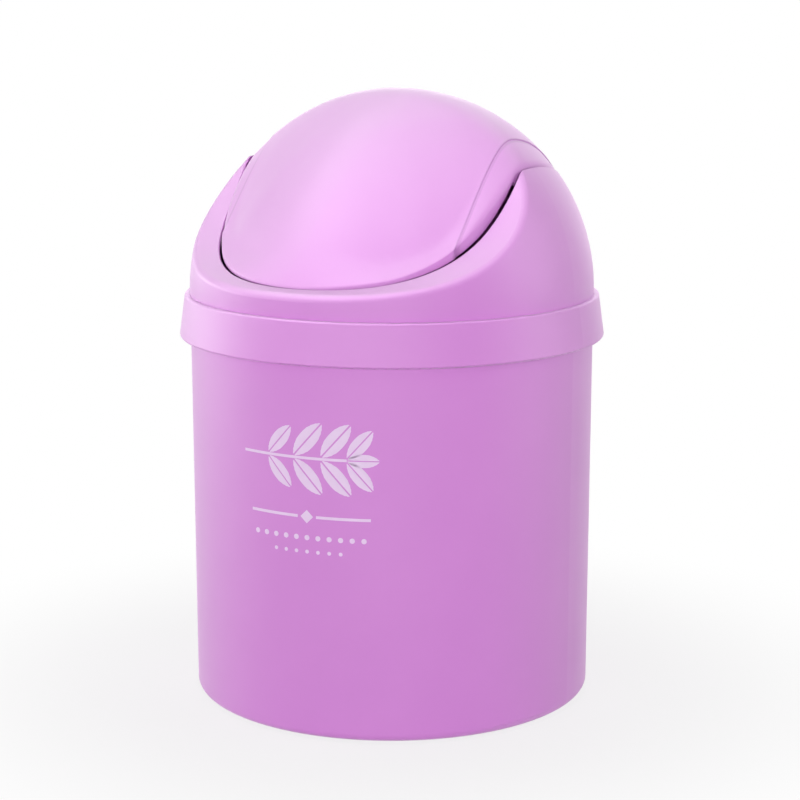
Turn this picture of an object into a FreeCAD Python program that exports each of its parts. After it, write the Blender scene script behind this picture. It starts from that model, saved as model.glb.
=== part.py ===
"""Desktop swing-lid bin: a drafted bucket, a domed lid collar and a swinging flap on two stub pins.

Millimetres. +Z is up, the origin is the middle of the face that the bucket stands on, and the
flap's push face looks to -Y. The flap turns about an axis parallel to X.
"""
import FreeCAD, Part
import math
import os
import re
import Sketcher

Vector = FreeCAD.Vector

doc = FreeCAD.newDocument("desktop_bin")

# Driving dimensions
SIZES = {
    # bucket
    "bucket_height": 117.7,        # standing face to the rim's top
    "bucket_base_radius": 58.9,    # outside, at the bottom
    "bucket_wall": 1.6,
    "bucket_floor": 2.0,
    "base_edge_round": 2.5,        # outside edge at the bottom
    "foot_ring_width": 6.0,        # standing ring, outer edge to inner edge
    "foot_ring_depth": 1.2,        # how far the floor is raised inside the ring
    # lid collar
    "lid_wall": 1.5,
    "rim_clearance": 0.3,          # bucket rim to the inside of the skirt
    "skirt_wall": 1.4,
    "skirt_height": 12.4,          # ledge to the skirt's lower edge
    "skirt_flare": 1.5,            # how much wider the skirt is at its lower edge
    "skirt_round": 0.7,            # shoulder and lower lip
    "dome_radius": 58.2,           # radius of the dome's arc
    "dome_offset": 1.2,            # the arc's centre stands this far from the axis
    "dome_foot": 1.1,              # upright foot below the arc
    "ledge_width": 1.6,            # shoulder between the dome and the skirt's outside
    "saddle_radius": 92.0,         # hollow cut over the front of the dome, seen from the side
    "saddle_waist_radius": 302.0,  # the same cut seen from the front: lower at the sides
    "saddle_foot_rise": 6.34,      # where the cut leaves the front of the dome, above the ledge
    "saddle_foot_angle": 15.25,    # how far the cut slopes down there
    "crease_round": 2.5,           # soft edge between dome and saddle
    "ear_width": 2.0,              # collar beside the opening, at the hinge axis
    "front_land": 4.3,             # collar in front of the opening, at the dome's foot
    "opening_side_bow": 1.25,      # how far the sides bow out past the round ends' width
    "opening_bevel": 0.35,         # eased edge round the opening
    # flap
    "flap_gap": 0.65,              # opening to flap, all round
    "flap_wall": 1.3,
    "flap_drop": 0.4,              # flap edge below the saddle's surface
    "face_profile_radius": 115.0,  # push face, seen from the side
    "face_cross_radius": 75.0,     # push face, seen from above
    "face_lip_inset": 0.9,         # push face's lower end, behind the opening's front
    "face_lip_rise": 8.1,          # push face's lower end above the ledge
    "face_lip_angle": 28.1,        # how far the face looks up at its lower end
    "crown_round": 18.0,           # soft edge between push face and dome
    "rim_round": 2.2,              # soft edge round the flap
    "back_depth": 14.3,            # hinge axis to the flap's lowest edge at the back
    "panel_sink": 0.35,            # side panel below the rest of the flap's skin
    "panel_round": 4.0,            # soft edge of the flap along its side panels
    "panel_width": 6.9,            # side of the flap to the side panel's step
    # hinge
    "hinge_rise": 36.0,            # hinge axis above the ledge
    "pin_radius": 1.3,
    "pin_clearance": 0.05,         # pin to socket, on the radius
    "pin_engagement": 3.0,         # how far the pin reaches into the flap
    "socket_spare": 0.5,           # socket floor beyond the pin's end
    "boss_radius": 3.2,            # round the pin's root and round the socket
    "boss_proud": 0.25,            # pin's boss past the opening's edge
    "cheek_half_width": 5.0,       # flap's side below the socket
    "cheek_depth": 4.5,            # flap's side below the hinge axis
    "lug_inset": 6.0,              # side of the flap to its hanging lug
    "lug_thickness": 5.6,
    "lug_width": 20.0,
    "lug_depth": 28.0,             # hinge axis to the lug's lower end
    "lug_back": 0.7,               # the lug's middle stands this far behind the hinge axis
}
sheet = doc.addObject("Spreadsheet::Sheet", "sizes")
for row, (alias, size) in enumerate(SIZES.items(), start=1):
    sheet.set(f"A{row}", alias)
    sheet.set(f"B{row}", str(size))
    sheet.setAlias(f"B{row}", alias)
doc.recompute()

# Heights and radii that several pieces share, worked out from the driving dimensions
LEDGE = "(bucket_height + lid_wall)"
DOME_CENTRE = f"({LEDGE} + dome_foot)"
DOME_FOOT_RADIUS = "(dome_offset + dome_radius)"
SKIRT_INSIDE = f"({DOME_FOOT_RADIUS} + ledge_width - skirt_wall)"
RIM_RADIUS = f"({SKIRT_INSIDE} - rim_clearance)"
DOME_TOP = f"({DOME_CENTRE} + dome_radius)"
SADDLE_FORWARD = f"({DOME_FOOT_RADIUS} + saddle_radius * sin(saddle_foot_angle * 1deg))"
SADDLE_HEIGHT = f"({LEDGE} + saddle_foot_rise + saddle_radius * cos(saddle_foot_angle * 1deg))"
HINGE_HEIGHT = f"({LEDGE} + hinge_rise)"
DOME_AT_HINGE = "(dome_offset + sqrt(dome_radius^2 - (hinge_rise - dome_foot)^2))"
OPENING_HALF_WIDTH = f"({DOME_AT_HINGE} - ear_width)"
OPENING_HALF_LENGTH = f"({DOME_FOOT_RADIUS} - front_land)"
OPENING_END_RADIUS = f"({OPENING_HALF_WIDTH} - opening_side_bow)"
OPENING_END_CENTRE = f"({OPENING_HALF_LENGTH} - {OPENING_END_RADIUS})"
OPENING_REACH = f"((opening_side_bow^2 + {OPENING_END_CENTRE}^2) / (2 * opening_side_bow))"
FLAP_SIDE = f"({OPENING_HALF_WIDTH} - flap_gap)"
FACE_LIP_FORWARD = f"({OPENING_HALF_LENGTH} - face_lip_inset)"
FACE_AXIS_BACK = f"(face_profile_radius * cos(face_lip_angle * 1deg) - {FACE_LIP_FORWARD})"
FACE_AXIS_HEIGHT = f"({LEDGE} + face_lip_rise - face_profile_radius * sin(face_lip_angle * 1deg))"
CLEAR = 20.0                       # how far a cutting form runs past the piece that it cuts


def bind(text):
    """The expression that reads the named sizes in the text from the sheet."""
    return re.sub(r"[a-z_]+", lambda m: f"sizes.{m[0]}" if m[0] in SIZES else m[0], text)


def value(text):
    """The number that an expression gives now."""
    result = sheet.evalExpression(bind(text))
    return float(getattr(result, "Value", result))


def new_body(name):
    return doc.addObject("PartDesign::Body", name)


def base_plane(body, role):
    return next(f for f in body.Origin.OriginFeatures if f.Role == role)


def draw(body, name, role, outline):
    """Closed outline on one of the body's base planes.

    Each corner is (x, y), reached by a straight run, or (x, y, radius, turn), reached by an arc that
    turns counter-clockwise for turn 1 and clockwise for turn -1.
    """
    sketch = body.newObject("Sketcher::SketchObject", name)
    sketch.AttachmentSupport = [(base_plane(body, role), "")]
    sketch.MapMode = "FlatFace"
    places = [Vector(value(c[0]), value(c[1]), 0) for c in outline]
    ends = []
    for i, corner in enumerate(outline):
        start, end = places[i - 1], places[i]
        if len(corner) == 2:
            sketch.addGeometry(Part.LineSegment(start, end))
            ends.append((1, 2))
            continue
        radius, turn = value(corner[2]), corner[3]
        chord = end - start
        side = Vector(-chord.y, chord.x, 0).normalize() * turn
        centre = (start + end) * 0.5 + side * math.sqrt(max(radius ** 2 - chord.Length ** 2 / 4, 0))
        first, last = (start, end) if turn > 0 else (end, start)
        angles = [math.atan2(p.y - centre.y, p.x - centre.x) for p in (first, last)]
        sketch.addGeometry(Part.ArcOfCircle(Part.Circle(centre, Vector(0, 0, 1), radius), *angles))
        ends.append((1, 2) if turn > 0 else (2, 1))
        sketch.setExpression(f"Constraints[{sketch.addConstraint(Sketcher.Constraint('Radius', i, radius))}]",
                             bind(corner[2]))
    for i, corner in enumerate(outline):
        following = (i + 1) % len(outline)
        sketch.addConstraint(Sketcher.Constraint("Coincident", i, ends[i][1], following, ends[following][0]))
        for kind, axis, text, place in (("DistanceX", -2, corner[0], places[i].x),
                                        ("DistanceY", -1, corner[1], places[i].y)):
            if text == "0":
                sketch.addConstraint(Sketcher.Constraint("PointOnObject", i, ends[i][1], axis))
                continue
            index = sketch.addConstraint(Sketcher.Constraint(kind, i, ends[i][1], place))
            sketch.setExpression(f"Constraints[{index}]", bind(text))
    return sketch


def revolve(body, sketch, axis="V_Axis"):
    feature = body.newObject("PartDesign::Revolution", sketch.Name + "_turned")
    feature.Profile = sketch
    feature.ReferenceAxis = (sketch, [axis])
    feature.Angle = 360
    return body


def extrude(body, sketch, length, symmetric=False):
    feature = body.newObject("PartDesign::Pad", sketch.Name + "_pad")
    feature.Profile = sketch
    if symmetric:
        feature.SideType = "Symmetric"
    feature.setExpression("Length", bind(length))
    return body


def combine(kind, name, *shapes):
    """Part::Cut of two objects, or Part::MultiFuse or Part::MultiCommon of several."""
    result = doc.addObject(kind, name)
    if kind == "Part::Cut":
        result.Base, result.Tool = shapes
    else:
        result.Shapes = list(shapes)
    doc.recompute()
    return result


def rod(name, radius, length, x, y, z):
    """Cylinder along +X from the place given."""
    cylinder = doc.addObject("Part::Cylinder", name)
    cylinder.Placement = FreeCAD.Placement(Vector(0, 0, 0), FreeCAD.Rotation(Vector(0, 1, 0), 90))
    for prop, text in (("Radius", radius), ("Height", length), ("Placement.Base.x", x),
                       ("Placement.Base.y", y), ("Placement.Base.z", z)):
        cylinder.setExpression(prop, bind(text))
    return cylinder


def slab(name, length, width, height, x, y, z):
    """Block along the axes, its lowest corner at the place given."""
    block = doc.addObject("Part::Box", name)
    for prop, text in (("Length", length), ("Width", width), ("Height", height), ("Placement.Base.x", x),
                       ("Placement.Base.y", y), ("Placement.Base.z", z)):
        block.setExpression(prop, bind(text))
    return block


def rounded(name, base, radius, wanted, kind="Part::Fillet"):
    """Fillet, or chamfer, of the edges whose middle point passes the test."""
    picked = []
    for number, edge in enumerate(base.Shape.Edges, start=1):
        middle = edge.valueAt((edge.FirstParameter + edge.LastParameter) / 2)
        if wanted(middle):
            picked.append((number, value(radius), value(radius)))
    eased = doc.addObject(kind, name)
    eased.Base = base
    eased.Edges = picked
    doc.recompute()
    return eased


# Forms that the lid's pieces are cut from

def dome_form(name, inset):
    """Solid under the dome, drawn in by the inset, down past the ledge."""
    body = new_body(name)
    side = f"{DOME_FOOT_RADIUS} - {inset}"
    low = f"{LEDGE} - {CLEAR}"
    return revolve(body, draw(body, name + "_profile", "XZ_Plane", [
        ("0", low),
        (side, low),
        (side, DOME_CENTRE),
        ("dome_offset", f"{DOME_CENTRE} + dome_radius - {inset}", f"dome_radius - {inset}", 1),
        ("0", f"{DOME_CENTRE} + dome_radius - {inset}"),
    ]))


def opening_form(name, inset):
    """Upright prism of the opening's plan: two round ends joined by sides of a longer arc."""
    body = new_body(name)
    end = f"({OPENING_END_RADIUS} - {inset})"
    side = f"({OPENING_END_RADIUS} + {OPENING_REACH} - {inset})"
    half_length = f"{OPENING_END_CENTRE} + {end}"
    x = f"{end} * ({OPENING_REACH} - opening_side_bow) / {OPENING_REACH}"
    y = f"({OPENING_END_CENTRE} + {end} * {OPENING_END_CENTRE} / {OPENING_REACH})"
    sketch = draw(body, name + "_plan", "XY_Plane", [
        (x, y, side, 1),
        ("0", half_length, end, 1),
        (f"-{x}", y, end, 1),
        (f"-{x}", f"-{y}", side, 1),
        ("0", f"-({half_length})", end, 1),
        (x, f"-{y}", end, 1),
    ])
    return extrude(body, sketch, f"{DOME_TOP} + {CLEAR}")


def push_face_form(name, inset):
    """Barrel, turned about a line parallel to the hinge, whose skin is the flap's push face."""
    body = new_body(name)
    half = f"({OPENING_HALF_WIDTH} + flap_gap)"
    across = f"(face_cross_radius - {inset})"
    edge = f"face_profile_radius - face_cross_radius + sqrt({across}^2 - {half}^2)"
    revolve(body, draw(body, name + "_profile", "XY_Plane", [
        (f"-{half}", "0"),
        (half, "0"),
        (half, edge),
        (f"-{half}", edge, across, 1),
    ]), "H_Axis")
    body.setExpression("Placement.Base.y", bind(FACE_AXIS_BACK))
    body.setExpression("Placement.Base.z", bind(FACE_AXIS_HEIGHT))
    return body


def saddle_form(name, growth):
    """Waisted roller across the front of the dome, larger than the cut by the growth."""
    body = new_body(name)
    half = f"({DOME_FOOT_RADIUS} + {CLEAR})"
    across = f"(saddle_waist_radius - {growth})"
    edge = f"saddle_radius + saddle_waist_radius - sqrt({across}^2 - {half}^2)"
    revolve(body, draw(body, name + "_profile", "XY_Plane", [
        (f"-{half}", "0"),
        (half, "0"),
        (half, edge),
        (f"-{half}", edge, across, -1),
    ]), "H_Axis")
    body.setExpression("Placement.Base.y", bind(f"-{SADDLE_FORWARD}"))
    body.setExpression("Placement.Base.z", bind(SADDLE_HEIGHT))
    return body


def on_dome(point, inset):
    arc = math.hypot(math.hypot(point.x, point.y) - value("dome_offset"), point.z - value(DOME_CENTRE))
    foot = abs(math.hypot(point.x, point.y) - value(DOME_FOOT_RADIUS) + inset) < 1e-3
    return abs(arc - value("dome_radius") + inset) < 1e-3 or foot


def on_saddle(point, growth):
    turn = math.hypot(point.y + value(SADDLE_FORWARD), point.z - value(SADDLE_HEIGHT))
    beyond = value("saddle_radius + saddle_waist_radius") - turn
    return abs(math.hypot(beyond, point.x) - value("saddle_waist_radius") + growth) < 1e-3


def on_push_face(point, inset):
    turn = math.hypot(point.y - value(FACE_AXIS_BACK), point.z - value(FACE_AXIS_HEIGHT))
    hub = value("face_profile_radius - face_cross_radius")
    return abs(math.hypot(turn - hub, point.x) - value("face_cross_radius") + inset) < 1e-3


def on_opening(point, inset):
    reach = value(OPENING_REACH)
    end_radius = value(OPENING_END_RADIUS)
    end_centre = value(OPENING_END_CENTRE)
    from_side = math.hypot(abs(point.x) + reach - value("opening_side_bow"), point.y)
    from_end = math.hypot(point.x, abs(point.y) - end_centre)
    on_side = abs(from_side - end_radius - reach + inset) < 1e-3
    return on_side or abs(from_end - end_radius + inset) < 1e-3


# Bucket

bucket = new_body("bucket")
inside_base = "(bucket_base_radius - bucket_wall)"
floor_top = "(foot_ring_depth + bucket_floor)"
inside_round = "(base_edge_round - bucket_wall / 2)"
revolve(bucket, draw(bucket, "bucket_profile", "XZ_Plane", [
    ("0", "foot_ring_depth"),
    ("bucket_base_radius - foot_ring_width", "foot_ring_depth"),
    ("bucket_base_radius - foot_ring_width + foot_ring_depth", "0"),
    ("bucket_base_radius - base_edge_round", "0"),
    ("bucket_base_radius", "base_edge_round", "base_edge_round", 1),
    (RIM_RADIUS, "bucket_height"),
    (f"{RIM_RADIUS} - bucket_wall", "bucket_height"),
    (inside_base, f"{floor_top} + {inside_round}"),
    (f"{inside_base} - {inside_round}", floor_top, inside_round, -1),
    ("0", floor_top),
]))
doc.recompute()

# Lid collar: skirt and dome, saddle cut at the front, hollow inside, opening, two stub pins

collar_outside = new_body("collar_outside")
skirt_low = f"{LEDGE} - skirt_height"
skirt_top_radius = f"({SKIRT_INSIDE} + skirt_wall)"
revolve(collar_outside, draw(collar_outside, "collar_outside_profile", "XZ_Plane", [
    ("0", skirt_low),
    (f"{skirt_top_radius} + skirt_flare - skirt_round", skirt_low),
    (f"{skirt_top_radius} + skirt_flare", f"{skirt_low} + skirt_round", "skirt_round", 1),
    (skirt_top_radius, f"{LEDGE} - skirt_round"),
    (f"{skirt_top_radius} - skirt_round", LEDGE, "skirt_round", 1),
    (DOME_FOOT_RADIUS, LEDGE),
    (DOME_FOOT_RADIUS, DOME_CENTRE),
    ("dome_offset", DOME_TOP, "dome_radius", 1),
    ("0", DOME_TOP),
]))
collar_inside = new_body("collar_inside")
inner_dome = "dome_radius - lid_wall"
skirt_inside_low = f"{SKIRT_INSIDE} + skirt_flare"
revolve(collar_inside, draw(collar_inside, "collar_inside_profile", "XZ_Plane", [
    ("0", f"{skirt_low} - {CLEAR}"),
    (skirt_inside_low, f"{skirt_low} - {CLEAR}"),
    (skirt_inside_low, skirt_low),
    (SKIRT_INSIDE, "bucket_height"),
    (f"{DOME_FOOT_RADIUS} - lid_wall", "bucket_height"),
    (f"{DOME_FOOT_RADIUS} - lid_wall", DOME_CENTRE),
    ("dome_offset", f"{DOME_CENTRE} + {inner_dome}", inner_dome, 1),
    ("0", f"{DOME_CENTRE} + {inner_dome}"),
]))
doc.recompute()
wall = value("lid_wall")
collar_saddled = combine("Part::Cut", "collar_saddled", collar_outside, saddle_form("saddle", "0"))
collar_soft = rounded("collar_soft", collar_saddled, "crease_round",
                      lambda p: on_dome(p, 0) and on_saddle(p, 0))
hollow_saddled = combine("Part::Cut", "hollow_saddled",
                         collar_inside, saddle_form("saddle_inside", "lid_wall"))
hollow_soft = rounded("hollow_soft", hollow_saddled, "crease_round - lid_wall",
                      lambda p: on_dome(p, wall) and on_saddle(p, wall))
collar_shell = combine("Part::Cut", "collar_shell", collar_soft, hollow_soft)
collar_cut = combine("Part::Cut", "collar_cut", collar_shell, opening_form("opening", "0"))
collar_skin = collar_soft.Shape.Shells[0]
collar_open = rounded("collar_open", collar_cut, "opening_bevel",
                      lambda p: on_opening(p, 0) and collar_skin.distToShape(Part.Vertex(p))[0] < 1e-3,
                      "Part::Chamfer")


def both_sides(name, radius, start, length):
    """Two equal rods on the hinge axis, each from its distance outwards."""
    return [rod(name + "_right", radius, length, start, "0", HINGE_HEIGHT),
            rod(name + "_left", radius, length, f"-({start}) - {length}", "0", HINGE_HEIGHT)]


mid_wall = dome_form("collar_mid_wall", "(lid_wall / 2)")
doc.recompute()
boss_start = f"({OPENING_HALF_WIDTH} - boss_proud)"
pin_start = f"({FLAP_SIDE} - pin_engagement)"
bosses = [combine("Part::MultiCommon", bar.Name + "_trimmed", bar, mid_wall)
          for bar in both_sides("boss", "boss_radius", boss_start, f"({DOME_FOOT_RADIUS} - {boss_start})")]
pins = both_sides("pin", "pin_radius", pin_start, f"({boss_start} - {pin_start})")
lid_collar = combine("Part::MultiFuse", "lid_collar", collar_open, *bosses, *pins)

# Swing flap: dome with a flatter push face, cut to the opening's plan, sunk side panels, hollow, two sockets


def flap_cap(name, inset):
    """Dome and push face together, with a soft edge between them."""
    sharp = combine("Part::MultiCommon", name + "_sharp",
                    dome_form(name + "_dome", inset), push_face_form(name + "_face", inset))
    depth = value(inset)
    return rounded(name, sharp, f"crown_round - {inset}",
                   lambda p: on_dome(p, depth) and on_push_face(p, depth) and p.z > value(HINGE_HEIGHT))


side_view = new_body("flap_side_view")
reach_back = f"({OPENING_HALF_LENGTH} + {CLEAR})"
high = f"({DOME_TOP} + {CLEAR})"
cheek_start = "(2 * cheek_half_width)"
cheek_low = f"({HINGE_HEIGHT} - cheek_depth)"
extrude(side_view, draw(side_view, "flap_side_outline", "YZ_Plane", [
    (f"-{cheek_start}", high),
    (f"-{cheek_start}", HINGE_HEIGHT),
    ("-cheek_half_width", cheek_low),
    ("cheek_half_width", cheek_low),
    (cheek_start, f"{HINGE_HEIGHT} - cheek_depth / 2"),
    (OPENING_HALF_LENGTH, f"{HINGE_HEIGHT} - back_depth"),
    (reach_back, f"{HINGE_HEIGHT} - back_depth"),
    (reach_back, high),
]), f"2 * {reach_back}", symmetric=True)
doc.recompute()
flap_room = combine("Part::MultiFuse", "flap_room", saddle_form("flap_edge", "flap_drop"), side_view)


def flap_block(name, inset, edge_round):
    """Flap without its hollow, its skin drawn in by the inset, with a soft edge all round."""
    cap = flap_cap(name + "_cap", inset)
    plan_inset = f"(flap_gap + {inset})"
    sharp = combine("Part::MultiCommon", name + "_sharp", cap, opening_form(name + "_plan", plan_inset))
    cap_skin = cap.Shape.Shells[0]
    gap = value(plan_inset)
    soft = rounded(name + "_soft", sharp, edge_round,
                   lambda p: on_opening(p, gap) and p.z > value(LEDGE)
                   and cap_skin.distToShape(Part.Vertex(p))[0] < 1e-3)
    return combine("Part::MultiCommon", name, soft, flap_room)


middle = f"({FLAP_SIDE} - panel_width)"
flap_middle = slab("flap_middle", f"2 * {middle}", f"2 * {reach_back}", high,
                   f"-{middle}", f"-{reach_back}", "0")
flap_raised = combine("Part::MultiCommon", "flap_raised",
                      flap_block("flap_full", "0", "rim_round"), flap_middle)
flap_solid = combine("Part::MultiFuse", "flap_solid", flap_raised,
                     flap_block("flap_sunk", "panel_sink", "panel_round"))
flap_inner = combine("Part::MultiCommon", "flap_inner", flap_cap("inner_cap", "flap_wall"),
                     opening_form("inner_plan", "(flap_gap + flap_wall)"))
flap_shell = combine("Part::Cut", "flap_shell", flap_solid, flap_inner)

lug_outside = f"({FLAP_SIDE} - lug_inset)"
lug_cap = flap_cap("lug_cap", "(flap_wall / 2)")
lugs = []
for side, x in (("right", f"{lug_outside} - lug_thickness"), ("left", f"-{lug_outside}")):
    hanger = slab(f"lug_slab_{side}", "lug_thickness", "lug_width", f"lug_depth + {CLEAR}",
                  x, "lug_back - lug_width / 2", f"{HINGE_HEIGHT} - lug_depth")
    lugs.append(combine("Part::MultiCommon", f"lug_{side}", hanger, lug_cap))
barrels = both_sides("barrel", "boss_radius", lug_outside, "(lug_inset - flap_wall / 2)")
flap_bossed = combine("Part::MultiFuse", "flap_bossed", flap_shell, *lugs, *barrels)
socket_depth = "(pin_engagement + socket_spare)"
sockets = both_sides("socket", "pin_radius + pin_clearance", f"{FLAP_SIDE} - {socket_depth}",
                     f"({socket_depth} + flap_gap)")
swing_flap = combine("Part::Cut", "swing_flap", flap_bossed, combine("Part::MultiFuse", "sockets", *sockets))

doc.recompute()
for item in doc.Objects:
    bad = [state for state in item.State if state in ("Invalid", "Error")]
    if bad:
        raise RuntimeError(f"{item.Label} is {bad}")
os.makedirs("parts", exist_ok=True)
for piece in (bucket, lid_collar, swing_flap):
    shape = piece.Shape
    if shape.isNull() or not shape.isValid():
        raise RuntimeError(f"{piece.Label} has no valid shape")
    print(piece.Label, len(shape.Solids), "solid", round(shape.Volume), "mm3", shape.BoundBox)
    shape.exportStep(f"parts/{piece.Label}.step")
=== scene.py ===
# %% [markdown]
# # A desktop bin with a swing lid
# The bin is three plastic mouldings of one lilac colour: a bucket, a lid collar that sits over the
# bucket's rim, and a flap that swings between the collar's two ears. Their shapes come from the
# part's own solids. This lesson gives them their finish, rolls the flap's lower corners down, prints
# the bucket, and sets up a small studio round them. Blender works in metres, and a length in
# millimetres is turned into metres by MM.

import math

import bmesh
import bpy
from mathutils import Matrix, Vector


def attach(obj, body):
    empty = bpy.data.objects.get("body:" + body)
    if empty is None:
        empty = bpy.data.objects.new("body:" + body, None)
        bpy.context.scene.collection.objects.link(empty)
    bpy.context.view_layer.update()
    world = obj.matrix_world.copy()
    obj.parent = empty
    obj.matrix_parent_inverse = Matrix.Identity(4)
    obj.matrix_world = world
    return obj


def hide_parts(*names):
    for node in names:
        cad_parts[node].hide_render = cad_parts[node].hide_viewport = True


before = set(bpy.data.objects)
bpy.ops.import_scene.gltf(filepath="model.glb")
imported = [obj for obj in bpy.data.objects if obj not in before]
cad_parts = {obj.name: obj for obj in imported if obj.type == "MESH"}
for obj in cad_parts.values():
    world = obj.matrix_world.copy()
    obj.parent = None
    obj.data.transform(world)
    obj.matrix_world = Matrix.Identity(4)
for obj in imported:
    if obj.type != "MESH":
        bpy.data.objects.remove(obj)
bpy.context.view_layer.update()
MM = 0.001

# %% [markdown]
# ## Sums between sockets
# A finish is a small calculation that Blender repeats at every point of a surface. Each step is a
# node, and wiring nodes by hand hides the sum that they make. The class below wraps a socket, so
# that a sum can be written as a sum, and one method adds every other kind of node.

# %% A socket that can be added and multiplied


class Wire:
    """An output socket in a node tree. Sums of wires and numbers add Math nodes."""

    def __init__(self, tree, socket=None):
        self.tree = tree
        self.socket = socket

    def add(self, kind, settings=None, sockets=None, output=0):
        """A new node: its settings come first, then the values or wires of its sockets."""
        made = self.tree.nodes.new(kind)
        for name, setting in (settings or {}).items():
            setattr(made, name, setting)
        for name, source in (sockets or {}).items():
            if isinstance(source, Wire):
                self.tree.links.new(source.socket, made.inputs[name])
            else:
                made.inputs[name].default_value = source
        return Wire(self.tree, made.outputs[output])

    def maths(self, operation, first, second):
        return self.add("ShaderNodeMath", {"operation": operation}, {0: first, 1: second})

    def __add__(self, other):
        return self.maths("ADD", self, other)

    def __radd__(self, other):
        return self.maths("ADD", other, self)

    def __sub__(self, other):
        return self.maths("SUBTRACT", self, other)

    def __rsub__(self, other):
        return self.maths("SUBTRACT", other, self)

    def __mul__(self, other):
        return self.maths("MULTIPLY", self, other)

    def __rmul__(self, other):
        return self.maths("MULTIPLY", other, self)


print("sums between sockets are ready")

# %% [markdown]
# Two kinds of node come back in every finish: a cloudy noise, and a mix of two colours. A colour
# can't go through a sum, because a Math node turns it grey, so it has a node of its own.

# %% Noise and mixed colours
MIX_FIRST = 6                          # the Mix node's sockets for two colours
MIX_SECOND = 7
MIX_RESULT = 2


def noise(start, place, pattern):
    """A cloudy value from 0 to 1. The pattern gives its scale, detail and roughness."""
    scale, detail, roughness = pattern
    return start.add("ShaderNodeTexNoise", None,
                     {"Vector": place, "Scale": scale, "Detail": detail, "Roughness": roughness})


def mixed(start, factor, first, second):
    """The first colour where the factor is 0, and the second where it is 1."""
    return start.add("ShaderNodeMix", {"data_type": "RGBA"},
                     {"Factor": factor, MIX_FIRST: first, MIX_SECOND: second}, MIX_RESULT)


print("noise and mixed colours are ready")

# %% [markdown]
# ## Satin lilac plastic
# The bin is moulded in polypropylene that is coloured all through. A mould that was etched leaves a
# very fine grain, which is why the highlights are broad and soft. No moulding is even: the pigment
# flows in faint clouds, and the satin is a little glossier where the plastic cooled against a
# smoother place. A plain colour would look like paint, so colour, gloss and grain each get a pattern
# of their own. The three mouldings come from three moulds, so each gets its own run of the clouds.
# The flap has a fine step down each side. Shade falls in it, so a painted shade darkens the colour
# along each step.

# %% The plastic's finish
LILAC = (0.600, 0.206, 0.622, 1.0)         # colour of the plastic in flat light
LILAC_DEEP = (0.555, 0.178, 0.585, 1.0)    # where the pigment is denser
CLOUDS = (34.0, 3.0, 0.5)                  # pigment clouds, about 30 mm across
BLOOM = (90.0, 4.0, 0.6)                   # patches of gloss, about 11 mm across
GRAIN = (2600.0, 2.0, 0.6)                 # etched grain, about 0.4 mm across
NOISE_MIDDLE = 0.5
SATIN = 0.46                               # middle of the roughness
BLOOM_SHARE = 0.10                         # how much the patches change the roughness
GRAIN_SHARE = 0.06
GRAIN_STRENGTH = 0.12
GRAIN_DEPTH = 0.06 * MM
POLYPROPYLENE = {"IOR": 1.49, "Specular IOR Level": 1.0, "Sheen Weight": 0.30, "Sheen Roughness": 0.5}
PAINTED_SHADE_TONE = (0.330, 0.085, 0.360, 1.0)   # painted shade in the flap's side steps
CREASE_PLACE = 38.4 * MM                   # how far the steps lie from the middle, on both sides
CREASE_REACH = (0.20 * MM, 0.70 * MM)      # where the shade starts to fade, and where it ends
CREASE_SHADE = 0.42


def crease_shade(start, place):
    """How much painted shade goes on: high along the flap's two side steps and 0 away from them."""
    sideways = start.add("ShaderNodeSeparateXYZ", None, {"Vector": place}, "X")
    off_step = start.maths("ABSOLUTE", start.maths("ABSOLUTE", sideways, 0.0) - CREASE_PLACE, 0.0)
    return start.add("ShaderNodeMapRange", {"interpolation_type": "SMOOTHSTEP"},
                     {"Value": off_step, "From Min": CREASE_REACH[0], "From Max": CREASE_REACH[1],
                      "To Min": CREASE_SHADE, "To Max": 0.0})


def satin_plastic(name, shift, painted_step_shade):
    """Lilac plastic with pigment clouds, patches of gloss, a fine grain and, where asked, painted
    shade in the side steps.
    """
    material = bpy.data.materials.new(name)
    material.use_nodes = True
    tree = material.node_tree
    start = Wire(tree)
    place = start.add("ShaderNodeTexCoord", output="Object")
    moved = start.add("ShaderNodeVectorMath", {"operation": "ADD"}, {0: place, 1: (shift, shift, 0)})
    grain = noise(start, moved, GRAIN)
    colour = mixed(start, noise(start, moved, CLOUDS), LILAC, LILAC_DEEP)
    # painted shade: the colour darkens towards a deep lilac along the flap's two side steps
    if painted_step_shade:
        colour = mixed(start, crease_shade(start, place), colour, PAINTED_SHADE_TONE)
    rough = (SATIN + BLOOM_SHARE * (noise(start, moved, BLOOM) - NOISE_MIDDLE)
             + GRAIN_SHARE * (grain - NOISE_MIDDLE))
    bump = start.add("ShaderNodeBump", None,
                     {"Height": grain, "Strength": GRAIN_STRENGTH, "Distance": GRAIN_DEPTH})
    shader = tree.nodes["Principled BSDF"]
    tree.links.new(colour.socket, shader.inputs["Base Color"])
    tree.links.new(rough.socket, shader.inputs["Roughness"])
    tree.links.new(bump.socket, shader.inputs["Normal"])
    for socket, amount in POLYPROPYLENE.items():
        shader.inputs[socket].default_value = amount
    return material


print("satin plastic is ready")

# %% [markdown]
# Each moulding has a slot for its finish. The shift moves its clouds away from those of the others.

# %% Finish the three mouldings
MOULDINGS = (("bucket", "bucket_plastic", 0.0), ("lid_collar", "lid_plastic", 0.31),
             ("swing_flap", "flap_plastic", 0.62))

for node_name, slot_name, shift in MOULDINGS:
    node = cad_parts[node_name]
    plastic = satin_plastic(slot_name, shift, painted_step_shade=node_name == "swing_flap")
    if node.material_slots:
        node.material_slots[0].material = plastic
    else:
        node.data.materials.append(plastic)
    print(node_name, "is finished in", plastic.name)

# %% [markdown]
# ## The flap's rolled edge
# On the real flap the push face rolls down to its edge, so that the edge shows as a thin line all
# round. The solid is plainer: its face stays high at the two lower corners and ends in an upright
# wall there. A solid's mesh is never changed, so a copy takes its place. Its points are lowered by a
# formula, most at the two corners, and not at all at the hinge, on the crown or along the edge that
# meets the collar. The flap therefore keeps the room that it swings in.

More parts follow.
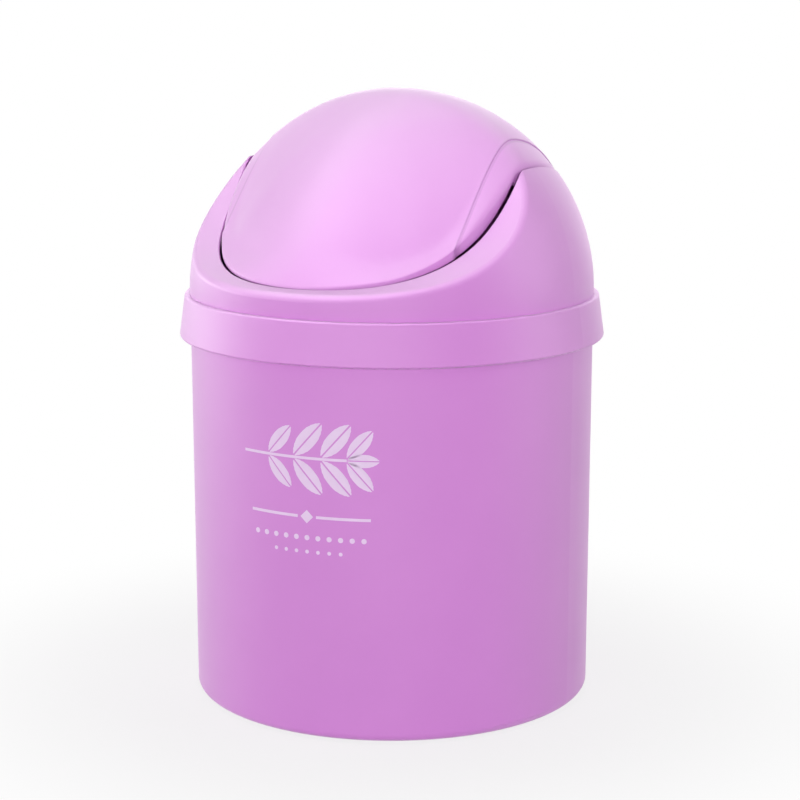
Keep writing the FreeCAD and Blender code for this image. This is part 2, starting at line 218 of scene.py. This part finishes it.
# %% How far a point of the flap comes down
FLAP_HALF_WIDTH = 44.8                 # plan of the flap, in mm
FLAP_HALF_LENGTH = 54.4
EDGE_FRONT = 126.6                     # lower edge at the front, in mm above the standing face
EDGE_CLIMB = 0.0635                    # how the lower edge climbs towards the hinge
EDGE_POWER = 1.6
WALL_HEIGHT = 9.0                      # height in mm over which the lowering fades in
CORNER_DROP = 6.0                      # scale of the lowering, in mm
ROLL_POWER = 2.4                       # how late the face starts to roll down
DEEPEST = (math.radians(40.0), math.radians(50.0))   # turned from the front towards the hinge
HINGE_SIDE = math.radians(88.0)        # from here to the hinge nothing is lowered


def eased(share):
    """A smooth step from 0 to 1."""
    share = min(max(share, 0.0), 1.0)
    return share * share * (3.0 - 2.0 * share)


def corner_drop(x, forward, z):
    """How far a point comes down, in mm. forward is its distance in front of the hinge."""
    if forward <= 0:
        return 0.0
    wide = abs(x) / FLAP_HALF_WIDTH
    deep = forward / FLAP_HALF_LENGTH
    turned = math.atan2(wide, deep)
    corner = eased(turned / DEEPEST[0]) * eased((HINGE_SIDE - turned) / (HINGE_SIDE - DEEPEST[1]))
    edge = EDGE_FRONT + EDGE_CLIMB * max(FLAP_HALF_LENGTH - forward, 0.0) ** EDGE_POWER
    above_edge = min(max((z - edge) / WALL_HEIGHT, 0.0), 1.0)
    return CORNER_DROP * corner * math.hypot(wide, deep) ** ROLL_POWER * above_edge


print("halfway up a corner the formula gives", round(corner_drop(30.0, 36.0, 138.0), 2), "mm")

# %% [markdown]
# The copy is loose triangles, as the solid's mesh is. They are merged first, so that the lowered
# face stays closed and its shading can be smoothed again.

# %% Lower the flap's two corners
SAME_POINT = 0.001 * MM
SMOOTH_BELOW = math.radians(28.0)      # sharper edges stay sharp


def only(thing):
    """Leaves one object selected and active."""
    bpy.ops.object.select_all(action="DESELECT")
    thing.select_set(True)
    bpy.context.view_layer.objects.active = thing


flap_skin = bpy.data.objects.new("flap_skin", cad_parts["swing_flap"].data.copy())
bpy.context.collection.objects.link(flap_skin)
only(flap_skin)
bpy.ops.mesh.customdata_custom_splitnormals_clear()
bpy.ops.object.mode_set(mode="EDIT")
bpy.ops.mesh.select_all(action="SELECT")
bpy.ops.mesh.remove_doubles(threshold=SAME_POINT)
flap_mesh = bmesh.from_edit_mesh(flap_skin.data)
lowered = 0.0
for point in flap_mesh.verts:
    drop = corner_drop(point.co.x / MM, -point.co.y / MM, point.co.z / MM)
    point.co.z -= drop * MM
    lowered = max(lowered, drop)
bmesh.update_edit_mesh(flap_skin.data)
bpy.ops.object.mode_set(mode="OBJECT")
bpy.ops.object.shade_smooth_by_angle(angle=SMOOTH_BELOW)
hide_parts("swing_flap")
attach(flap_skin, "flap")
print("the flap's corners come down by up to", round(lowered, 2), "mm")

# %% [markdown]
# ## The print on the bucket
# A bin of this kind carries a one-colour print on its front, pushed through a screen on to the
# finished bucket. The print here is a plain leafy sprig over a rule and two rows of dots. It is
# drawn flat, as the printer's screen is, and then wrapped on to the wall: a picture on the wall
# would be simpler, but ink stands a little proud and has its own gloss, so it gets its own mesh.

# %% Tools for drawing flat shapes
UPRIGHT = (math.pi / 2, 0, 0)          # turns a shape that lies down until it faces the front
ink_shapes = []


def settle(thing, x, z, turn=0.0, scale=1.0):
    """Moves a flat shape to its place on the screen, turned in the screen's plane."""
    only(thing)
    thing.location = (x * MM, 0, z * MM)
    thing.rotation_euler = (0, turn, 0)
    thing.scale = (scale, 1, scale)
    bpy.ops.object.transform_apply(location=True, rotation=True, scale=True)
    ink_shapes.append(thing)


def flat_disc(sides, radius):
    """A filled disc that stands upright and faces the front."""
    bpy.ops.object.select_all(action="DESELECT")
    bpy.ops.mesh.primitive_circle_add(vertices=sides, radius=radius * MM, fill_type="NGON",
                                      rotation=UPRIGHT)
    bpy.ops.object.transform_apply(rotation=True)
    return bpy.context.active_object


def squeeze(thing, beyond, width):
    """Narrows the part of a flat shape that lies further out than a distance from its middle."""
    only(thing)
    bpy.ops.object.mode_set(mode="EDIT")
    bpy.ops.mesh.select_all(action="DESELECT")
    mesh = bmesh.from_edit_mesh(thing.data)
    for vertex in mesh.verts:
        vertex.select_set(abs(vertex.co.x) >= beyond * MM)
    bmesh.update_edit_mesh(thing.data)
    bpy.ops.transform.resize(value=(1, 1, width))
    bpy.ops.object.mode_set(mode="OBJECT")


print("flat shapes are drawn in the plane y = 0")

# %% [markdown]
# A leaf starts as a disc. It is squeezed to an almond in five steps, more towards its tips, and cut
# along its middle. A mirrored half then leaves the vein open between the two sides.

# %% One leaf
LEAF_HALF = 6.4                        # half the length of a leaf, in mm
LEAF_SIDES = 48
ALMOND = ((0.0, 0.40), (2.6, 0.93), (4.0, 0.88), (5.2, 0.78), (6.0, 0.55))   # beyond in mm, width
VEIN = 0.45                            # width of the open vein, in mm

leaf = flat_disc(LEAF_SIDES, LEAF_HALF)
leaf.name = "print_leaf"
for beyond, width in ALMOND:
    squeeze(leaf, beyond, width)
only(leaf)
bpy.ops.object.mode_set(mode="EDIT")
bpy.ops.mesh.select_all(action="SELECT")
bpy.ops.mesh.bisect(plane_co=(0, 0, VEIN / 2 * MM), plane_no=(0, 0, 1), clear_inner=True)
bpy.ops.object.mode_set(mode="OBJECT")
bpy.ops.object.modifier_add(type="MIRROR")
halves = leaf.modifiers[-1]
halves.use_axis = (False, False, True)
halves.use_mirror_merge = False
bpy.ops.object.modifier_apply(modifier=halves.name)
print("leaf of", len(leaf.data.vertices), "vertices")

# %% [markdown]
# The sprig is one stem with leaves in pairs, each a copy of the first with its own mesh. The first
# leaf itself goes to the tip. The stem is a strip.

# %% The sprig
SPRIG_HEIGHT = 80.8                    # stem above the standing face, in mm
SPRIG_HALF = 21.0                      # half the length of the sprig, in mm
STEM_BREADTH = 0.75
LEAF_TILT = math.radians(48.0)
LEAF_STALK = 0.7                       # from the stem to the leaf, in mm
PAIRS = ((-12.6, 0.86), (-4.4, 1.0), (3.9, 1.0), (11.4, 0.84))   # place along the stem, scale
TIP_SCALE = 0.72


def strip(length, breadth, x, z):
    """A flat bar of ink."""
    bpy.ops.object.select_all(action="DESELECT")
    bpy.ops.mesh.primitive_plane_add(size=1.0, rotation=UPRIGHT)
    bar = bpy.context.active_object
    bar.scale = (length * MM, breadth * MM, 1)
    bpy.ops.object.transform_apply(rotation=True, scale=True)
    settle(bar, x, z)


def copied(thing):
    """A copy with its own mesh."""
    only(thing)
    bpy.ops.object.duplicate()
    return bpy.context.active_object


for along, scale in PAIRS:
    out = LEAF_HALF * scale + LEAF_STALK
    for side in (1, -1):
        settle(copied(leaf), along + out * math.cos(LEAF_TILT),
               SPRIG_HEIGHT + side * out * math.sin(LEAF_TILT), -side * LEAF_TILT, scale)
settle(leaf, SPRIG_HALF - LEAF_HALF * TIP_SCALE, SPRIG_HEIGHT, 0.0, TIP_SCALE)
stem_end = SPRIG_HALF - 2 * LEAF_HALF * TIP_SCALE
strip(stem_end + SPRIG_HALF, STEM_BREADTH, (stem_end - SPRIG_HALF) / 2, SPRIG_HEIGHT)
print("the sprig has", len(ink_shapes), "shapes")

# %% [markdown]
# Below the sprig, a rule is broken by a diamond. It is two strips and a disc of four sides. The dots
# under it are small discs, closer to the ground and smaller in the second row.

# %% The rule and the dots
RULE_HEIGHT = 64.2
RULE_LENGTH = 15.6                     # one half of the rule, in mm
RULE_BREADTH = 0.8
RULE_MIDDLE = 10.6                     # from the diamond's middle to the middle of a half
DIAMOND_SIDES = 4
DIAMOND_HALF = 1.9
DOT_SIDES = 20
DOT_GAP = 3.3                          # from dot to dot, in mm
DOT_ROWS = ((58.2, 11, 0.75), (54.2, 7, 0.55))   # height, number of dots, radius

for side in (-1, 1):
    strip(RULE_LENGTH, RULE_BREADTH, side * RULE_MIDDLE, RULE_HEIGHT)
settle(flat_disc(DIAMOND_SIDES, DIAMOND_HALF), 0, RULE_HEIGHT)
for height, count, radius in DOT_ROWS:
    for i in range(count):
        settle(flat_disc(DOT_SIDES, radius), (i - (count - 1) / 2) * DOT_GAP, height)
print("the print has", len(ink_shapes), "shapes")

# %% [markdown]
# The shapes are joined, and the flat print is cut into narrow upright slices so that it can bend.

# %% Slice the print
SLICE = 1.4 * MM

bpy.ops.object.select_all(action="DESELECT")
for shape in ink_shapes:
    shape.select_set(True)
bpy.context.view_layer.objects.active = ink_shapes[0]
bpy.ops.object.join()
bucket_print = bpy.context.active_object
bucket_print.name = "bucket_print"
bpy.ops.object.mode_set(mode="EDIT")
reach = max(abs(v.co.x) for v in bmesh.from_edit_mesh(bucket_print.data).verts)
cuts = int(reach / SLICE)
for i in range(-cuts, cuts + 1):
    bpy.ops.mesh.select_all(action="SELECT")
    bpy.ops.mesh.bisect(plane_co=(i * SLICE, 0, 0), plane_no=(1, 0, 0))
bpy.ops.object.mode_set(mode="OBJECT")
print("the print has", len(bucket_print.data.polygons), "faces after", 2 * cuts + 1, "cuts")

# %% [markdown]
# A bend about an upright line gives the print the wall's curve, and a shrinkwrap then lays it on the
# wall itself, which leans a little. The film of ink gets its thickness last.

# %% Wrap the print on to the wall
PRINT_AZIMUTH = math.radians(6.5)      # from the middle of the flap's front
WALL_RADIUS = 59.1 * MM
INK_LIFT = 0.05 * MM
INK_FILM = 0.05 * MM

across = [v.co.x for v in bucket_print.data.vertices]
bpy.ops.object.modifier_add(type="SIMPLE_DEFORM")
bend = bucket_print.modifiers[-1]
bend.deform_method = "BEND"
bend.deform_axis = "Z"
bend.angle = (max(across) - min(across)) / WALL_RADIUS
bpy.ops.object.modifier_apply(modifier=bend.name)
bucket_print.location = (0, -WALL_RADIUS, 0)
bpy.ops.object.transform_apply(location=True)
bucket_print.rotation_euler = (0, 0, PRINT_AZIMUTH)
bpy.ops.object.transform_apply(rotation=True)
bpy.ops.object.modifier_add(type="SHRINKWRAP")
wrap = bucket_print.modifiers[-1]
wrap.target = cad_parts["bucket"]
wrap.wrap_method = "NEAREST_SURFACEPOINT"
wrap.wrap_mode = "ABOVE_SURFACE"
wrap.offset = INK_LIFT
bpy.ops.object.modifier_apply(modifier=wrap.name)
bpy.ops.object.modifier_add(type="SOLIDIFY")
film = bucket_print.modifiers[-1]
film.thickness = INK_FILM
film.offset = -1.0
bpy.ops.object.modifier_apply(modifier=film.name)
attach(bucket_print, "bucket")
print("print of", len(bucket_print.data.polygons), "faces on the bucket")

# %% [markdown]
# Screen ink is nearly opaque. It lies a little thinner in places, where the lilac shows through, so
# its colour is mixed from the two by a fine noise.

# %% The ink
INK = (0.800, 0.640, 0.845, 1.0)
INK_THIN = (0.730, 0.520, 0.780, 1.0)
INK_SPECKLE = (420.0, 3.0, 0.5)        # thin places, about 2 mm across
INK_THIN_SHARE = 0.7
INK_ROUGHNESS = 0.38
INK_THIN_ROUGHER = 0.12

ink = bpy.data.materials.new("pale_ink")
ink.use_nodes = True
ink_tree = ink.node_tree
ink_start = Wire(ink_tree)
ink_place = ink_start.add("ShaderNodeTexCoord", output="Object")
thin = noise(ink_start, ink_place, INK_SPECKLE)
ink_tone = mixed(ink_start, INK_THIN_SHARE * thin, INK, INK_THIN)
ink_rough = INK_ROUGHNESS + INK_THIN_ROUGHER * thin
ink_shader = ink_tree.nodes["Principled BSDF"]
ink_tree.links.new(ink_tone.socket, ink_shader.inputs["Base Color"])
ink_tree.links.new(ink_rough.socket, ink_shader.inputs["Roughness"])
bucket_print.data.materials.clear()
bucket_print.data.materials.append(ink)
print("the print is finished in", ink.name)

# %% [markdown]
# ## A small studio
# The floor is pale, and to the camera most of its brightness is its own, so it reads as white and
# still takes the bin's shadow. Away from the bin all of it is its own. The air is white to the camera
# in the same way, and gives the bin only a weak light of its own.

# %% White to the camera
WHITE = (1.0, 1.0, 1.0, 1.0)


def white_to_camera(tree, lit, share):
    """Mixes white of strength 1 into a shader, for the camera and for what shows in gloss or glass."""
    start = Wire(tree)
    path = tree.nodes.new("ShaderNodeLightPath")
    seen = (Wire(tree, path.outputs["Is Camera Ray"]) + Wire(tree, path.outputs["Is Glossy Ray"])
            + Wire(tree, path.outputs["Is Transmission Ray"]))
    glow_kind = "ShaderNodeBackground" if "Background" in lit.name else "ShaderNodeEmission"
    glow = start.add(glow_kind, None, {"Color": WHITE, "Strength": 1.0})
    amount = start.maths("MINIMUM", seen, 1.0) * share
    return start.add("ShaderNodeMixShader", None, {0: amount, 1: Wire(tree, lit.outputs[0]), 2: glow})


print("white of strength 1 can be mixed into a shader")

# %% [markdown]
# The floor is one large plane just under the standing face, so that the two never share a place.

# %% Floor
FLOOR_SIZE = 6.0
FLOOR_DROP = 0.2 * MM
FLOOR_PAINT = (0.7, 0.7, 0.7, 1.0)
FLOOR_ROUGHNESS = 0.9
OWN_REACH = (0.06, 0.18)               # distances from the bin's axis, in metres
OWN_SHARE = (0.79, 1.0)                # the floor's own share of white at those distances

bpy.ops.object.select_all(action="DESELECT")
bpy.ops.mesh.primitive_plane_add(size=FLOOR_SIZE, location=(0, 0, -FLOOR_DROP))
floor = bpy.context.active_object
floor.name = "studio_floor"
floor_paint = bpy.data.materials.new("studio_white")
floor_paint.use_nodes = True
floor_tree = floor_paint.node_tree
floor_shader = floor_tree.nodes["Principled BSDF"]
floor_shader.inputs["Base Color"].default_value = FLOOR_PAINT
floor_shader.inputs["Roughness"].default_value = FLOOR_ROUGHNESS
floor_start = Wire(floor_tree)
floor_place = floor_start.add("ShaderNodeTexCoord", output="Object")
away = floor_start.add("ShaderNodeVectorMath", {"operation": "LENGTH"}, {0: floor_place}, "Value")
own = floor_start.add("ShaderNodeMapRange", {"interpolation_type": "SMOOTHSTEP"},
                      {"Value": away, "From Min": OWN_REACH[0], "From Max": OWN_REACH[1],
                       "To Min": OWN_SHARE[0], "To Max": OWN_SHARE[1]})
floor_mix = white_to_camera(floor_tree, floor_shader, own)
floor_tree.links.new(floor_mix.socket, floor_tree.nodes["Material Output"].inputs["Surface"])
floor.data.materials.append(floor_paint)
print("the floor is", FLOOR_SIZE, "m wide")

# %% [markdown]
# The air lights the bin evenly from all sides. It is kept weak, because even light hides form.

# %% Air
AIR_STRENGTH = 0.11

world = bpy.data.worlds.new("studio_air")
bpy.context.scene.world = world
world.use_nodes = True
air = world.node_tree.nodes["Background"]
air.inputs["Color"].default_value = WHITE
air.inputs["Strength"].default_value = AIR_STRENGTH
air_mix = white_to_camera(world.node_tree, air, 1.0)
world.node_tree.links.new(air_mix.socket, world.node_tree.nodes["World Output"].inputs["Surface"])
print("the air lights the bin with a strength of", AIR_STRENGTH)

# %% [markdown]
# A product on white is lit by large soft lamps. Here they stand low round the bin, so that the walls
# get as much light as the flap: two wide strips at the front and the left, and two square lamps at
# the right and the back. The strip at the front is kept out of the gloss, where it would show as a
# hard band. A studio's white ceiling and window are what satin plastic mirrors from above, and three
# panels stand in for them. They show in the gloss alone, so the top of the lid turns pale without
# getting more light.

# %% Lamps
BIN_MIDDLE = (0.0, 0.0, 0.09)


def soft_lamp(name, place, width, height, watts):
    """A lamp with a wide face that is turned to the bin."""
    bpy.ops.object.select_all(action="DESELECT")
    bpy.ops.object.light_add(type="AREA", location=place)
    lamp = bpy.context.active_object
    lamp.name = name
    lamp.data.shape = "RECTANGLE"
    lamp.data.size = width
    lamp.data.size_y = height
    lamp.data.energy = watts
    lamp.rotation_euler = (Vector(BIN_MIDDLE) - Vector(place)).to_track_quat("-Z", "Y").to_euler()
    return lamp


front_lamp = soft_lamp("front_lamp", (0.40, -1.16, 0.20), 1.5, 0.4, 10.8)
front_lamp.visible_glossy = False
soft_lamp("left_lamp", (-1.12, -0.14, 0.22), 1.0, 0.44, 5.9)
soft_lamp("right_lamp", (1.15, 0.44, 0.36), 0.9, 0.9, 5.8)
soft_lamp("back_lamp", (-0.20, 1.25, 0.45), 1.4, 1.4, 7.0)
gloss_panels = (soft_lamp("gloss_ceiling", (0.08, -0.06, 1.05), 2.0, 2.0, 37.0),
                soft_lamp("gloss_window", (-0.55, -0.50, 0.95), 1.8, 1.8, 27.0),
                soft_lamp("gloss_side", (-0.85, 0.80, 0.50), 1.2, 1.2, 5.5))
for panel in gloss_panels:
    panel.visible_diffuse = False
print("four soft lamps, and", len(gloss_panels), "panels that show in the gloss alone")

# %% [markdown]
# ## The camera
# The photograph was taken from a little above, with the flap turned thirty degrees to the left. The
# lens is a long one, so the bin's sides stay nearly parallel.

# %% Camera
AZIMUTH = math.radians(30.0)
DISTANCE = 0.6422                      # from the bin's axis, level with the floor
HEIGHT = 0.2146
PITCH = math.radians(11.31)
YAW = math.radians(0.212)
SENSOR = 36.0                          # width of the sensor and length of the lens, in mm
LENS = 98.8

ahead = Vector((-math.sin(AZIMUTH), math.cos(AZIMUTH), 0))
right = Vector((math.cos(AZIMUTH), math.sin(AZIMUTH), 0))
level = math.cos(PITCH) * (math.sin(YAW) * right + math.cos(YAW) * ahead)
look = level - Vector((0, 0, math.sin(PITCH)))
bpy.ops.object.select_all(action="DESELECT")
bpy.ops.object.camera_add(location=Vector((0, 0, HEIGHT)) - DISTANCE * ahead)
camera = bpy.context.active_object
camera.name = "photo_camera"
camera.rotation_euler = look.to_track_quat("-Z", "Y").to_euler()
camera.data.sensor_width = SENSOR
camera.data.lens = LENS
bpy.context.scene.camera = camera
bpy.context.scene.view_settings.view_transform = "Standard"
print("camera at", [round(c, 4) for c in camera.location])
